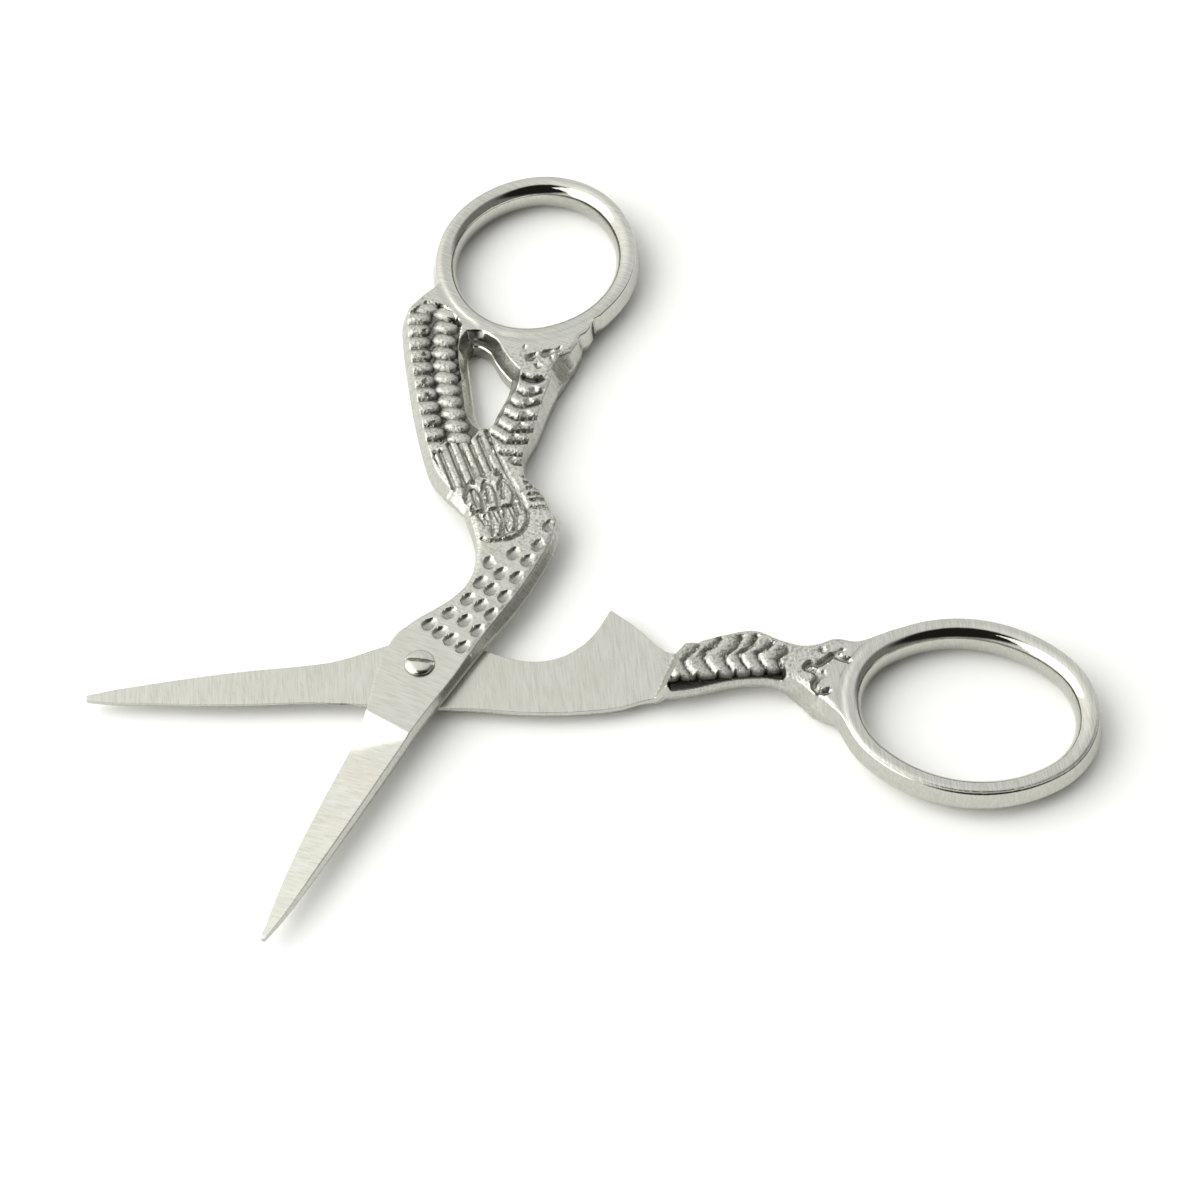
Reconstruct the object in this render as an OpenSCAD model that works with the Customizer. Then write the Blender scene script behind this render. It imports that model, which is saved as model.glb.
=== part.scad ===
// Stork embroidery scissors, lying open on a table.
// Two forged halves cross at a slotted pivot screw. The stork half carries the body, the wing,
// the tail and one leg. The breast half carries the breast and the other leg.
// Origin: on the table, under the pivot axis. +Z up, +X from the pivot along the breast half.
// Both halves are drawn closed, with the blades along -X, and the stork half is then turned open.

/* [Pair] */
// Angle between the halves as they lie
open_angle = 60; // [10:1:80]
// Thickness of the legs and bows
thick = 3.5; // [2.8:0.1:4.4]
// Gap between the flat inner faces
face_gap = 0.06; // [0.04:0.01:0.2]

/* [Blades] */
// Tip of a blade to the pivot
blade_len = 30.5; // [24:0.5:40]
// Width of a blade where the grind starts
blade_w = 4.5; // [3.6:0.1:5.6]
// Length of the unground root beside the pivot
root_len = 6.6; // [5:0.1:9]
// Thickness of the blade's back at the tip
tip_t = 0.6; // [0.45:0.05:1.2]
// Fall of the ground face from the back to the cutting edge
edge_fall = 1.2; // [0.6:0.05:1.3]
// Radius of the grinding wheel's run-out
wheel_r = 5; // [3:0.5:9]

/* [Neck] */
// Width across the pivot
heel_w = 7.6; // [6.6:0.1:9]
// Pivot to the shoulder of the breast half's leg
neck_len = 23.4; // [21:0.1:27]
// Depth of the throat below the blade's centre line
throat_h = 5.6; // [5:0.1:6.4]
// Height of the breast's point above the blade's centre line
breast_h = 5.5; // [4:0.1:7]
// Clearance between a half's shoulder and the other half's flat
shoulder_gap = 0.25; // [0.15:0.05:0.5]
// Lean of the shoulder's face, in degrees from upright
shoulder_lean = 25; // [0:1:40]

/* [Bows] */
// Pivot to the centres of the bows
bow_x = 49.5; // [44:0.5:58]
// Length of the stork half's finger hole, at its upper edge
stork_bow_l = 20; // [17:0.1:24]
// Width of the stork half's finger hole, at its upper edge
stork_bow_w = 17.7; // [15:0.1:21]
// Length of the breast half's finger hole, at its upper edge
breast_bow_l = 21.1; // [18:0.1:25]
// Width of the breast half's finger hole, at its upper edge
breast_bow_w = 16.8; // [14:0.1:20]
// Wall of a bow, outwards from the finger hole's upper edge
bow_wall = 1.5; // [1.1:0.05:2.2]
// Swell of a bow's inner wall into the finger hole
bow_swell = 0.9; // [0.4:0.05:1.3]
// Gap between the closed bows
bow_gap = 0.3; // [0.2:0.05:1]

/* [Body] */
// Height of the tail above the blade's centre line
tail_h = 20.6; // [18:0.1:23]
// Length of the window between wing and leg
window_l = 10.9; // [8:0.1:12]
// Height of the window beside the bow
window_h = 7.6; // [5:0.1:8.5]
// Width of the leg between the window and its inner edge
leg_w = 4.05; // [3:0.1:5.5]

/* [Pivot screw] */
// Diameter of the screw's head
head_d = 2.8; // [2.4:0.1:4]
// Height of the domed head
head_h = 0.55; // [0.35:0.05:0.9]
// Diameter of the shank that the stork half turns on
shank_d = 2.2; // [1.6:0.1:2.3]
// Diameter of the threaded end in the breast half
thread_d = 1.8; // [1.2:0.1:2]
// Radial clearance of the shank in its bore
turn_fit = 0.04; // [0.02:0.01:0.1]
// Radial clearance of the threaded end
thread_fit = 0.02; // [0.01:0.01:0.05]
// Width of the screwdriver slot
slot_w = 0.35; // [0.2:0.05:0.6]
// Depth of the screwdriver slot
slot_h = 0.35; // [0.2:0.05:0.5]
// Direction of the screwdriver slot
slot_angle = -18; // [-90:1:90]

/* [Hidden] */
$fn = 64;

// Points per span of a curve
steps = 3;

mid = thick / 2;
half_gap = face_gap / 2;
steel = "silver";

stork_bow_tilt = 4.6;
breast_bow_tilt = -12.9;

function unit(v) = v / norm(v);
function turn(p, a) = [p.x * cos(a) - p.y * sin(a), p.x * sin(a) + p.y * cos(a)];

// Half the height of a tilted oval with half axes a and b
function oval_rise(a, b, tilt) = sqrt(pow(a * sin(tilt), 2) + pow(b * cos(tilt), 2));
stork_rise = oval_rise(stork_bow_l / 2 + bow_wall, stork_bow_w / 2 + bow_wall, stork_bow_tilt);
breast_rise = oval_rise(breast_bow_l / 2 + bow_wall, breast_bow_w / 2 + bow_wall, breast_bow_tilt);

// Centres of the bows, which meet a little above the blades' centre line
meet_y = 1;
stork_bow = [bow_x, meet_y + bow_gap / 2 + stork_rise];
breast_bow = [bow_x - 0.4, meet_y - bow_gap / 2 - breast_rise];

// A point of an oval, moved outwards by d along its normal
function oval_point(c, a, b, tilt, d, t) =
    let (n = unit([b * cos(t), a * sin(t)]))
    c + turn([a * cos(t) + d * n.x, b * sin(t) + d * n.y], tilt);

// A smooth curve through the points p, with chord-length tangents
function slope(p, i) =
    let (n = len(p) - 1)
    i == 0 ? unit(p[1] - p[0]) :
    i == n ? unit(p[n] - p[n - 1]) :
    let (u = p[i] - p[i - 1], v = p[i + 1] - p[i], a = norm(u), b = norm(v))
    (u * b / a + v * a / b) / (a + b);
function span(p, i, t) =
    let (a = p[i], b = p[i + 1], d = norm(b - a))
    a * (2 * pow(t, 3) - 3 * t * t + 1) + slope(p, i) * d * (pow(t, 3) - 2 * t * t + t)
    + b * (3 * t * t - 2 * pow(t, 3)) + slope(p, i + 1) * d * (pow(t, 3) - t * t);
function curve(p) = [for (i = [0:len(p) - 2], k = [0:steps - 1]) span(p, i, k / steps)];

// Shares p of a length and a height, placed from the point o
function place(p, o, l, h) = [for (q = p) [o.x + q.x * l, o.y + q.y * h]];
function flip(p) = [for (i = [len(p) - 1:-1:0]) p[i]];

// Outline stretches shared by the two closed blades, as shares of the blade's length and width,
// from the tip to the root
blade_upper = place([[-0.955, 0.08], [-0.845, 0.21], [-0.72, 0.315], [-0.525, 0.4], [-0.33, 0.445],
    [-0.216, 0.52]], [0, 0], blade_len, blade_w);
blade_lower = place([[-1, -0.06], [-0.92, -0.167], [-0.8, -0.267], [-0.67, -0.355], [-0.51, -0.455],
    [-0.33, -0.555], [-0.2, -0.63]], [0, 0], blade_len, blade_w);
tip = [[-blade_len, 0.01 * blade_w]];
// The heel above the pivot and the hollow of the neck, as shares of the neck's length
heel_upper = place([[-0.11, 0.43], [0, 0.5], [0.1, 0.52], [0.19, 0.465]], [0, 0], neck_len, heel_w);
hollow = place([[0.285, 0.31], [0.385, 0.14], [0.48, 0.06], [0.57, 0.12]], [0, 0], neck_len, heel_w);
throat = place([[0, -0.65], [0.21, -0.77], [0.39, -0.91], [0.6, -0.985], [0.76, -0.965]],
    [0, 0], neck_len, throat_h);

// Stork half: the chest's notch, the leg's inner edge, the bow, the tail and the back, all closed
chest = place([[0.88, -0.84], [0.915, -0.59], [0.945, -0.47], [0.975, -0.25], [1.005, 0.03]],
    [0, 0], neck_len, throat_h);
leg_inner = place([[0.05, 0.2], [0.25, 0.34], [0.4, 0.43], [0.56, 0.44], [0.68, 0.43], [0.76, 0.39],
    [0.82, 0.39]], [neck_len, 0], bow_x - neck_len, throat_h);
stork_bow_side = [for (t = [250:-9:124])
    oval_point(stork_bow, stork_bow_l / 2, stork_bow_w / 2, stork_bow_tilt, bow_wall / 2, t)];
back = place([[-0.225, 0.2], [-0.175, 0.325], [-0.12, 0.435], [-0.05, 0.515], [0.1, 0.66], [0.265, 0.8],
    [0.415, 0.92], [0.515, 0.985], [0.56, 1]], [neck_len, 0], bow_x - neck_len, tail_h);

function stork_outline() = concat(
    curve(concat(blade_lower, throat, [[0.85 * neck_len, -0.87 * throat_h]])),
    curve(concat(chest, leg_inner)),
    stork_bow_side,
    curve(flip(back)),
    curve(concat([back[0]], flip(hollow), flip(heel_upper), flip(blade_upper), tip, [blade_lower[0]])));

// Breast half: the leg's lower edge, the bow, the leg's upper edge and the pointed breast
leg_lower = place([[0.03, -0.87], [0.22, -0.79], [0.31, -0.83], [0.395, -1.03], [0.455, -1.34],
    [0.52, -1.63], [0.56, -1.9]], [neck_len, 0], bow_x - neck_len, throat_h);
breast_bow_side = [for (t = [208:-12:124])
    oval_point(breast_bow, breast_bow_l / 2, breast_bow_w / 2, breast_bow_tilt, bow_wall / 2, t)];
leg_upper = place([[0.77, -0.03], [0.71, -0.09], [0.63, -0.16], [0.55, -0.12], [0.5, -0.19], [0.445, -0.2],
    [0.38, -0.08], [0.29, 0.165], [0.17, 0.13], [0.06, 0.04]], [neck_len, 0], bow_x - neck_len, throat_h);
breast_rear = place([[0.97, 0.04], [0.94, 0.145], [0.885, 0.475], [0.77, 1]], [0, 0], neck_len, breast_h);
breast_front = place([[0.77, 1], [0.69, 0.535], [0.65, 0.36]], [0, 0], neck_len, breast_h);

function breast_outline() = concat(
    curve(concat(blade_lower, throat, [[0.86 * neck_len, -0.88 * throat_h]], leg_lower)),
    breast_bow_side,
    curve(concat(leg_upper, breast_rear)),
    curve(concat(breast_front, flip(hollow), flip(heel_upper), flip(blade_upper), tip, [blade_lower[0]])));

module forging(p) {
    linear_extrude(thick) polygon(p);
}

// Section of a bow's wire, outwards from the finger hole's upper edge
bow_t = thick - 0.1;
bow_section = [
    [0, -bow_t / 2], [bow_wall - 0.6, -bow_t / 2], [bow_wall - 0.2, 0.75 - bow_t / 2],
    [bow_wall, 0],
    [bow_wall - 0.2, bow_t / 2 - 0.75], [bow_wall - 0.6, bow_t / 2], [0, bow_t / 2],
    [-0.6 * bow_swell, 0.22 * bow_t], [-bow_swell, 0], [-0.6 * bow_swell, -0.22 * bow_t]
];

// One arc of a bow: the section, drawn a share k of its size, turned about o from angle a to b
module bow_arc(o, r, a, b, k) {
    m = (bow_wall - bow_swell) / 2;
    translate([o.x, o.y, 0])
        rotate([0, 0, a])
            rotate_extrude(angle = b - a)
                polygon([for (s = bow_section) [r + m + k * (s.x - m), k * s.y]]);
}

// An oval bow of four arcs: two of radius r at its ends and two of radius R along its sides,
// whose ends run on inside the other two
module bow(c, l, w, tilt) {
    a = l / 2;
    b = w / 2;
    r = 0.86 * b;
    R = (pow(a - r, 2) + b * b - r * r) / (2 * (b - r));
    meet = atan2(R - b, a - r);
    translate([c.x, c.y, mid])
        rotate([0, 0, tilt])
            for (s = [0, 180])
                rotate([0, 0, s]) {
                    bow_arc([a - r, 0], r, -meet, meet, 1);
                    bow_arc([0, b - R], R, meet - 2, 182 - meet, 0.985);
                }
}

// What is ground off above a blade that lies on z = 0. The ground face follows the blade's back from
// the tip to the root, where the wheel ran out, and falls across the blade to the edge at +Y
module grind(root_t) {
    run = blade_len - root_len;
    back_y = 0.62 * blade_w;
    rise = (root_t - tip_t) / run;
    end = run - 0.6 * wheel_r;
    translate([-blade_len, 0, 0])
        rotate([0, 0, -atan(back_y / run)])
            rotate([-atan(edge_fall / blade_w), 0, 0])
                translate([0, 20, 0])
                    rotate([90, 0, 0])
                        linear_extrude(40)
                            polygon(concat(
                                [[-2, thick + 2], [-2, tip_t - 2 * rise]],
                                [for (t = [0:5:35]) [end + wheel_r * sin(t),
                                    tip_t + end * rise + wheel_r * (1 - cos(t))]],
                                [[end + wheel_r, thick + 2]]));
}

// Everything below the stork half's mating face and short of its shoulder
module stork_flat() {
    g = shoulder_gap;
    rear = [for (q = breast_rear) q + [g, g]];
    translate([0, 0, -1])
        linear_extrude(1 + mid + half_gap)
            polygon(concat(
                [[-blade_len - 5, -throat_h - 5], [neck_len + 2, -throat_h - 5], [neck_len + 2, g + 0.1]],
                rear,
                [[rear[3].x - 0.5, rear[3].y + 4], [-blade_len - 5, rear[3].y + 4]]));
}

// Everything above the breast half's mating face and short of its leaning shoulder
module breast_flat() {
    foot = [0.91 * neck_len, -0.87 * throat_h];
    top = [neck_len + 0.35, 0.04 * throat_h];
    intersection() {
        translate([-blade_len - 5, -20, mid - half_gap]) cube([blade_len + 5 + neck_len + 8, 40, thick]);
        translate([foot.x, foot.y, mid - half_gap])
            rotate([0, 0, atan2(top.y - foot.y, top.x - foot.x) - 90])
                rotate([0, shoulder_lean, 0])
                    translate([-80, -40, -60])
                        cube([80, 80, 120]);
    }
}

// Triangular window: its lower, bow and wing sides, from the point towards the pivot
module window() {
    o = [neck_len + 3.8, leg_inner[1].y + leg_w];
    sides = [
        [[0, 0.09], [0.08, 0], [0.3, 0], [0.6, 0.03], [0.73, 0.09]],
        [[0.73, 0.09], [0.79, 0.25], [0.87, 0.42], [0.97, 0.6], [1, 0.82], [0.95, 0.98]],
        [[0.95, 0.98], [0.86, 0.99], [0.73, 0.93], [0.477, 0.72], [0.275, 0.54], [0.11, 0.385],
            [0.03, 0.24], [0, 0.09]]
    ];
    translate([0, 0, -1])
        linear_extrude(thick + 2)
            polygon([for (s = sides, q = curve(place(s, o, window_l, window_h))) q]);
}

module bore(d) {
    translate([0, 0, -1]) cylinder(h = thick + 2, d = d);
}

module stork_half() {
    color(steel)
        rotate([0, 0, open_angle])
            difference() {
                union() {
                    forging(stork_outline());
                    bow(stork_bow, stork_bow_l, stork_bow_w, stork_bow_tilt);
                }
                stork_flat();
                window();
                translate([0, 0, mid]) grind(mid);
                bore(shank_d + 2 * turn_fit);
            }
}

module breast_half() {
    color(steel)
        difference() {
            union() {
                forging(breast_outline());
                bow(breast_bow, breast_bow_l, breast_bow_w, breast_bow_tilt);
            }
            breast_flat();
            translate([0, 0, mid]) rotate([180, 0, 0]) grind(mid);
            bore(thread_d + 2 * thread_fit);
        }
}

// Shoulder screw: a slotted dome, a smooth shank and a thinner threaded end, flush underneath
module pivot_screw() {
    cap_r = (head_d * head_d / 4 + head_h * head_h) / (2 * head_h);
    color(steel)
        difference() {
            union() {
                cylinder(h = mid, d = thread_d);
                translate([0, 0, mid - half_gap]) cylinder(h = mid + 2 * half_gap, d = shank_d);
                intersection() {
                    translate([0, 0, thick + half_gap + head_h - cap_r]) sphere(r = cap_r);
                    translate([0, 0, thick + half_gap]) cylinder(h = head_h + 1, d = head_d);
                }
            }
            rotate([0, 0, slot_angle])
                translate([-head_d, -slot_w / 2, thick + half_gap + head_h - slot_h])
                    cube([2 * head_d, slot_w, slot_h + 1]);
        }
}

stork_half();
breast_half();
pivot_screw();
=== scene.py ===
import math

import bpy
import numpy as np
from mathutils import Matrix, Vector


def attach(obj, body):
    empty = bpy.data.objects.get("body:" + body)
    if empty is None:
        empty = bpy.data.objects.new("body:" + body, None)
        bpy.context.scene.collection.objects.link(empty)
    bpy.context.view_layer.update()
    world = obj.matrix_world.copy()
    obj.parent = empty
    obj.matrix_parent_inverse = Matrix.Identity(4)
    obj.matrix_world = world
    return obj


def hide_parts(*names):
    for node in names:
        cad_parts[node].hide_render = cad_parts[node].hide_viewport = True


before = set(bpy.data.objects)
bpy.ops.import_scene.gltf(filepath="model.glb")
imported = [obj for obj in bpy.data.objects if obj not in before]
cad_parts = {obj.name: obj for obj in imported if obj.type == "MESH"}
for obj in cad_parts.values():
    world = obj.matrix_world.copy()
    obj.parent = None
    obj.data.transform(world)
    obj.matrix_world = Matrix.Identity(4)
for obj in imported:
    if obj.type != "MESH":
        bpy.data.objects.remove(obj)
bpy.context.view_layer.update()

# Sizes of the pair in millimetres and degrees, as in the frame
OPEN = 60.0  # how far the pair stands open
THICK, MID, HALF_GAP = 3.5, 1.75, 0.03  # forging, mating plane, half the play between the halves
BLADE_LEN, BLADE_W, ROOT_LEN = 30.5, 4.5, 6.6
TIP_T, EDGE_FALL = 0.6, 1.2  # a blade's thickness at its tip, and the fall of its ground face to the edge
HEEL_W, NECK_LEN, THROAT_H, BREAST_H = 7.6, 23.4, 5.6, 5.5
BOW_X, MEET_Y, BOW_GAP = 49.5, 1.0, 0.3  # bows from the pivot, where they meet, and their play when closed
BOW_WALL, BOW_SWELL = 1.5, 0.9  # a bow's wire outside and inside the hole's upper edge
TAIL_H, WINDOW_L, WINDOW_H, LEG_W = 20.6, 10.9, 7.6, 4.05
HEAD_D, HEAD_H, SHANK_D, THREAD_D = 2.8, 0.55, 2.2, 1.8
TURN_FIT, THREAD_FIT = 0.04, 0.02  # play all round the screw's shank and thread
LEG_LEN = BOW_X - NECK_LEN
CELL = 0.13  # step of the grid that the faces are worked out on


# Outlines

def place(shares, origin, length, height):
    """Shares of a length and a height, counted from an origin."""
    return np.array(shares, float) * (length, height) + origin


def smooth_line(points, per_span=10):
    """A smooth line through points: cubic spans whose slopes are the neighbouring chords' directions,
    each weighted by the other chord's length."""
    p = np.asarray(points, float)
    chord = np.diff(p, axis=0)
    size = np.linalg.norm(chord, axis=1)[:, None]
    way = chord / size
    slope = np.vstack([way[:1], (way[:-1] * size[1:] + way[1:] * size[:-1]) / (size[:-1] + size[1:]), way[-1:]])
    t = np.linspace(0, 1, per_span, endpoint=False)[None, :, None]
    a, b, d = p[:-1, None], p[1:, None], size[:, None]
    spans = (a * (2 * t**3 - 3 * t**2 + 1) + slope[:-1, None] * d * (t**3 - 2 * t**2 + t)
             + b * (3 * t**2 - 2 * t**3) + slope[1:, None] * d * (t**3 - t**2))
    return spans.reshape(-1, 2)


def turned(p, degrees):
    """Points turned about the origin."""
    c, s = math.cos(math.radians(degrees)), math.sin(math.radians(degrees))
    return np.stack([p[..., 0] * c - p[..., 1] * s, p[..., 0] * s + p[..., 1] * c], -1)


class Bow:
    """An oval finger bow: four arcs at the hole's upper edge, two round its ends and two along its sides."""

    END_SHARE = 0.86  # an end arc's radius as a share of half the hole's width

    def __init__(self, x, side, length, width, tilt):
        self.a, self.b, self.tilt = length / 2, width / 2, tilt
        a, b = self.a + BOW_WALL, self.b + BOW_WALL
        rise = math.hypot(a * math.sin(math.radians(tilt)), b * math.cos(math.radians(tilt)))
        self.centre = np.array([x, MEET_Y + side * (BOW_GAP / 2 + rise)])
        self.end_r = self.END_SHARE * self.b
        self.side_r = ((self.a - self.end_r) ** 2 + self.b**2 - self.end_r**2) / (2 * (self.b - self.end_r))

    def distance(self, q):
        """Distance outwards from the hole's upper edge: to the end arc beyond the line through both arcs'
        centres, and to the side arc before it."""
        p = np.abs(turned(q - self.centre, -self.tilt))
        end, side = np.array([self.a - self.end_r, 0]), np.array([0, self.b - self.side_r])
        line, off = end - side, p - side
        beyond = line[0] * off[..., 1] - line[1] * off[..., 0] < 0
        return np.where(beyond, np.linalg.norm(p - end, axis=-1) - self.end_r,
                        np.linalg.norm(off, axis=-1) - self.side_r)

    def arc(self, start, stop, step, out):
        """Points of the oval from one angle to another, moved outwards."""
        t = np.radians(np.arange(start, stop - 1, -step))
        n = np.stack([self.b * np.cos(t), self.a * np.sin(t)], -1)
        n /= np.linalg.norm(n, axis=1)[:, None]
        p = np.stack([self.a * np.cos(t), self.b * np.sin(t)], -1) + out * n
        return self.centre + turned(p, self.tilt)


STORK_BOW = Bow(BOW_X, 1, 20.0, 17.7, 4.6)
BREAST_BOW = Bow(BOW_X - 0.4, -1, 21.1, 16.8, -12.9)

# Outlines as shares: the blades, heels and hollows of each half, the throat and chest below them, the legs,
# the stork's back, and the breast's point
STORK_UPPER = place([(-0.955, 0.08), (-0.845, 0.21), (-0.72, 0.315), (-0.525, 0.4), (-0.33, 0.445),
                     (-0.216, 0.49)], 0, BLADE_LEN, BLADE_W)
STORK_LOWER = place([(-1, -0.06), (-0.92, -0.167), (-0.8, -0.267), (-0.67, -0.355), (-0.51, -0.455),
                     (-0.33, -0.555), (-0.2, -0.63)], 0, BLADE_LEN, BLADE_W)
STORK_HEEL = place([(-0.11, 0.428), (0, 0.471), (0.085, 0.46), (0.171, 0.368)], 0, NECK_LEN, HEEL_W)
STORK_HOLLOW = place([(0.256, 0.221), (0.342, 0.086), (0.41, 0.026), (0.479, 0.029), (0.568, 0.112)],
                     0, NECK_LEN, HEEL_W)
BREAST_UPPER = place([(-0.955, 0.19), (-0.845, 0.28), (-0.72, 0.355), (-0.525, 0.433), (-0.33, 0.458),
                      (-0.262, 0.489), (-0.216, 0.556)], 0, BLADE_LEN, BLADE_W)
BREAST_LOWER = place([(-1, 0.045), (-0.92, -0.075), (-0.8, -0.175), (-0.67, -0.295), (-0.51, -0.395),
                      (-0.33, -0.48), (-0.2, -0.6)], 0, BLADE_LEN, BLADE_W)
BREAST_HEEL = place([(-0.11, 0.474), (0, 0.52), (0.1, 0.513), (0.19, 0.4)], 0, NECK_LEN, HEEL_W)
BREAST_HOLLOW = place([(0.285, 0.237), (0.385, 0.103), (0.48, 0.057), (0.57, 0.116)], 0, NECK_LEN, HEEL_W)
THROAT = place([(0, -0.65), (0.21, -0.77), (0.39, -0.91), (0.6, -0.985), (0.76, -0.965)], 0, NECK_LEN, THROAT_H)
CHEST = place([(0.88, -0.84), (0.915, -0.59), (0.945, -0.47), (0.975, -0.25), (1.005, 0.03)], 0, NECK_LEN, THROAT_H)
LEG_INNER = place([(0.05, 0.2), (0.25, 0.34), (0.4, 0.43), (0.56, 0.44), (0.68, 0.43), (0.76, 0.39),
                   (0.82, 0.39)], (NECK_LEN, 0), LEG_LEN, THROAT_H)
BACK = place([(-0.225, 0.2), (-0.175, 0.325), (-0.12, 0.435), (-0.05, 0.515), (0.1, 0.66), (0.265, 0.8),
              (0.415, 0.92), (0.515, 0.985), (0.56, 1)], (NECK_LEN, 0), LEG_LEN, TAIL_H)
LEG_LOWER = place([(0.03, -0.84), (0.22, -0.73), (0.31, -0.77), (0.395, -0.98), (0.455, -1.34), (0.52, -1.63),
                   (0.56, -1.9)], (NECK_LEN, 0), LEG_LEN, THROAT_H)
LEG_UPPER = place([(0.77, -0.03), (0.71, -0.09), (0.63, -0.16), (0.55, -0.12), (0.5, -0.19), (0.445, -0.2),
                   (0.38, -0.08), (0.29, 0.165), (0.17, 0.13), (0.06, 0.04)], (NECK_LEN, 0), LEG_LEN, THROAT_H)
BREAST_REAR = place([(0.97, 0.085), (0.94, 0.205), (0.885, 0.5), (0.77, 1.02)], 0, NECK_LEN, BREAST_H)
BREAST_FRONT = place([(0.77, 1.02), (0.69, 0.535), (0.65, 0.36)], 0, NECK_LEN, BREAST_H)


def over_the_top(start, hollow, heel, upper, tip_y, lower):
    """The upper edge from the body to the blade's tip and round it."""
    return smooth_line([start, *hollow[::-1], *heel[::-1], *upper[::-1], (-BLADE_LEN, tip_y * BLADE_W), lower[0]])


STORK_OUTLINE = np.vstack([
    smooth_line([*STORK_LOWER, *THROAT, (0.85 * NECK_LEN, -0.87 * THROAT_H)]),
    smooth_line([*CHEST, *LEG_INNER]),
    STORK_BOW.arc(250, 124, 9, BOW_WALL / 2),
    smooth_line(BACK[::-1]),
    over_the_top(BACK[0], STORK_HOLLOW, STORK_HEEL, STORK_UPPER, 0.01, STORK_LOWER)])
BREAST_OUTLINE = np.vstack([
    smooth_line([*BREAST_LOWER, *THROAT, (0.86 * NECK_LEN, -0.88 * THROAT_H), *LEG_LOWER]),
    BREAST_BOW.arc(208, 124, 12, BOW_WALL / 2),
    smooth_line([*LEG_UPPER, *BREAST_REAR]),
    smooth_line(BREAST_FRONT),
    over_the_top(BREAST_FRONT[2], BREAST_HOLLOW, BREAST_HEEL, BREAST_UPPER, 0.1, BREAST_LOWER)])
WINDOW_SIDES = [
    [(0, 0.09), (0.08, 0), (0.3, 0), (0.6, 0.03), (0.73, 0.09)],
    [(0.73, 0.09), (0.79, 0.25), (0.87, 0.42), (0.97, 0.6), (1, 0.82), (0.95, 0.98)],
    [(0.95, 0.98), (0.86, 0.99), (0.73, 0.93), (0.477, 0.72), (0.275, 0.54), (0.11, 0.385), (0.03, 0.24), (0, 0.09)]]
WINDOW_OUTLINE = np.vstack([smooth_line(place(s, (NECK_LEN + 3.8, LEG_INNER[1][1] + LEG_W), WINDOW_L, WINDOW_H))
                            for s in WINDOW_SIDES])


# Fields on the plane

ROW_KEY = 100003  # more tiles than any row has


def polygon_distance(q, polygon, tile=3.0):
    """Signed distance to a closed polygon: the least distance to any side, negative where a ray from the
    point crosses the sides an odd number of times. Points are taken a square tile at a time, with only
    the sides that can be nearest to it."""
    a, b = polygon, np.roll(polygon, -1, 0)
    e = b - a
    length2 = np.maximum((e * e).sum(1), 1e-12)
    cell = np.floor(q / tile).astype(int)
    key = cell[:, 0] * ROW_KEY + cell[:, 1]
    order = np.argsort(key, kind="stable")
    starts = np.flatnonzero(np.r_[True, np.diff(key[order]) != 0, True])
    out = np.empty(len(q))
    for first, last in zip(starts[:-1], starts[1:]):
        take = order[first:last]
        centre = (cell[take[0]] + 0.5) * tile
        t = np.clip(((centre - a) * e).sum(1) / length2, 0, 1)
        reach = np.linalg.norm(centre - a - t[:, None] * e, axis=1)
        near = reach <= reach.min() + 1.5 * tile
        p = q[take][:, None]
        w = p - a[near]
        t = np.clip((w * e[near]).sum(2) / length2[near], 0, 1)
        w -= t[..., None] * e[near]
        least = np.sqrt((w * w).sum(2).min(1))
        row = ((np.minimum(a[:, 1], b[:, 1]) <= centre[1] + tile / 2)
               & (np.maximum(a[:, 1], b[:, 1]) >= centre[1] - tile / 2))
        up, down, way = a[row], b[row], e[row]
        crosses = (up[:, 1] > p[..., 1]) != (down[:, 1] > p[..., 1])
        rise = np.where(way[:, 1] == 0, 1e-9, way[:, 1])
        x = up[:, 0] + (p[..., 1] - up[:, 1]) * way[:, 0] / rise
        odd = (crosses & (p[..., 0] < x)).sum(1) % 2 == 1
        out[take] = np.where(odd, -least, least)
    return out


def soft_min(a, b, k):
    """The lesser of two fields, with a round of size k where they meet."""
    h = np.clip(0.5 + 0.5 * (b - a) / k, 0, 1)
    return b + (a - b) * h - k * h * (1 - h)


def step(x, low, high):
    """Smooth step: 0 below low, 1 above high, and 3t^2 - 2t^3 between."""
    t = np.clip((x - low) / (high - low), 0, 1)
    return t * t * (3 - 2 * t)


def table(x, pairs):
    """Straight-line table of (place, value) pairs."""
    pairs = np.array(pairs, float)
    return np.interp(x, pairs[:, 0], pairs[:, 1])


def pit(q, x, y, long, wide, turn, depth, steep=0.0, point=0.45, power=0.8):
    """A teardrop pit: depth times (1 - r^2)^power, where r is the distance over the half axes. The half
    width shrinks towards the pointed end, and the floor falls towards the steep side."""
    p = turned(q - (x, y), -turn)
    taper = 1 - point * np.clip(p[:, 0] / long, -1, 1)
    r2 = (p[:, 0] / long) ** 2 + (p[:, 1] / (wide * taper)) ** 2
    return depth * np.clip(1 - r2, 0, 1) ** power * (1 + steep * np.clip(p[:, 1] / wide, -1, 1))


def groove(q, path, wide, depth):
    """A round groove along a path: depth times (1 - d^2/w^2), with d the distance to the path."""
    path = np.asarray(path, float)
    d = np.full(len(q), 1e9)
    for a, b in zip(path[:-1], path[1:]):
        e = b - a
        t = np.clip(((q - a) @ e) / (e @ e), 0, 1)
        d = np.minimum(d, np.linalg.norm(q - a - t[:, None] * e, axis=1))
    return depth * np.clip(1 - (d / wide) ** 2, 0, 1)


def pits(q, places, shape):
    """The deepest of equal pits at several places."""
    return np.maximum.reduce([pit(q, x, y, *shape) for x, y in places])


def grooves(q, lines, wide, depth):
    """The deepest of equal grooves along several lines."""
    return np.maximum.reduce([groove(q, line, wide, depth) for line in lines])


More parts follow.
